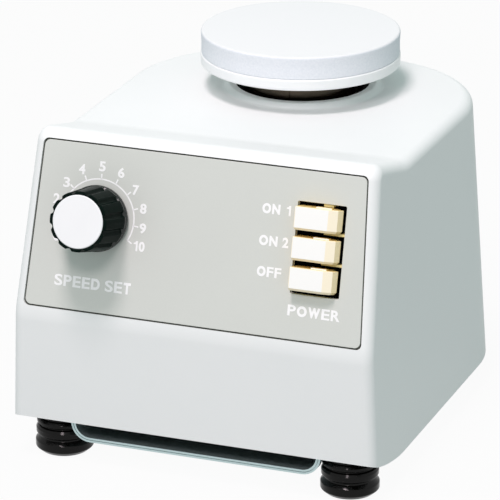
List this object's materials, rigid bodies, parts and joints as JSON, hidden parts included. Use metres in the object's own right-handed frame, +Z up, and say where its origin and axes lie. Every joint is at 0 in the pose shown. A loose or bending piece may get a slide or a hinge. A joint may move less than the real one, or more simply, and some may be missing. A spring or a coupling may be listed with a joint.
{
  "type": "vortex mixer",
  "caption": "Bench-top vortex mixer with a sloping control panel, a speed knob, push buttons and a round padded head that an eccentric drive carries in small circles.",
  "frame": {"origin": "on the table under the middle of the whole mixer", "axes": "+X to the user's right, -Y towards the user, +Z up"},
  "size_m": [0.1464, 0.1993, 0.145],
  "materials": {
    "white_paint": "smooth white enamel",
    "panel_grey": "satin grey printed plate",
    "black_plastic": "matte black moulding",
    "white_plastic": "white cap",
    "ivory_plastic": "ivory moulding",
    "pad_foam": "pale foam rubber",
    "black_rubber": "black rubber",
    "steel": "plain steel",
    "cast_alloy": "cast alloy",
    "bronze": "sintered bronze",
    "copper_winding": "varnished copper wire",
    "board_green": "circuit board",
    "capacitor_yellow": "capacitor case"
  },
  "bodies": {
    "base": {"housing": "white_paint", "control_panel": "panel_grey", "potentiometer": "black_plastic", "pot_nut": "steel", "switch_body": "black_plastic", "switch_screws": "steel", "base_plate": "steel", "bottom_pan": "steel", "pan_screws": "steel", "foot_front_left": "black_rubber", "foot_front_right": "black_rubber", "foot_rear_left": "black_rubber", "foot_rear_right": "black_rubber", "foot_screws": "steel", "mount_bolts": "steel", "rubber_mounts": "black_rubber", "touch_switch": "black_plastic", "speed_board": "board_green", "board_standoffs": "steel", "triac_heatsink": "cast_alloy", "filter_capacitor": "capacitor_yellow", "terminal_block": "black_plastic", "cord_gland": "black_rubber"},
    "knob": {"speed_knob": "black_plastic", "knob_cap": "white_plastic", "pot_shaft": "steel"},
    "on1": {"button_on1": "ivory_plastic"},
    "on2": {"button_on2": "ivory_plastic"},
    "off": {"button_off": "ivory_plastic"},
    "carriage": {"motor_plate": "steel", "lower_bracket": "cast_alloy", "upper_bracket": "cast_alloy", "lower_bush": "bronze", "upper_bush": "bronze", "guide_bushes": "black_rubber", "stator": "steel", "stator_coils": "copper_winding", "motor_screws": "steel"},
    "drive": {"motor_shaft": "steel", "rotor": "steel", "eccentric_hub": "steel", "counterweight": "bronze", "bearing_inner": "steel"},
    "head": {"head_carrier": "cast_alloy", "guide_pins": "steel", "neck_sleeve": "black_rubber", "head_plate": "white_paint", "head_screw": "steel", "head_pad": "pad_foam", "bearing_outer": "steel"}
  },
  "joints": [
    {"name": "speed_turn", "type": "hinge", "parent": "base", "child": "knob", "pos_m": [-0.0399, -0.07799, 0.09791], "axis": [0, 0.969, -0.247], "range_deg": [0, 240]},
    {"name": "press_on1", "type": "slide", "parent": "base", "child": "on1", "axis": [0, 0.969, -0.247], "range_m": [0, 0.004], "stiffness_N_per_m": 350, "springref_m": -0.003},
    {"name": "press_on2", "type": "slide", "parent": "base", "child": "on2", "axis": [0, 0.969, -0.247], "range_m": [0, 0.004], "stiffness_N_per_m": 350, "springref_m": -0.003},
    {"name": "press_off", "type": "slide", "parent": "base", "child": "off", "axis": [0, 0.969, -0.247], "range_m": [0, 0.004], "stiffness_N_per_m": 350, "springref_m": -0.003},
    {"name": "touch_press", "type": "slide", "parent": "base", "child": "carriage", "axis": [0, 0, -1], "range_m": [0, 0.0025], "stiffness_N_per_m": 7000, "springref_m": -0.006, "deforming": ["rubber_mounts"]},
    {"name": "motor_spin", "type": "hinge", "parent": "carriage", "child": "drive", "pos_m": [0, 0.0345, 0.06], "axis": [0, 0, 1], "continuous": true},
    {"name": "head_orbit", "type": "hinge", "parent": "drive", "child": "head", "pos_m": [0, 0.032, 0.106], "axis": [0, 0, 1], "continuous": true}
  ],
  "couplings": [
    {"joint": "head_orbit", "follows": "motor_spin", "ratio": -1}
  ]
}
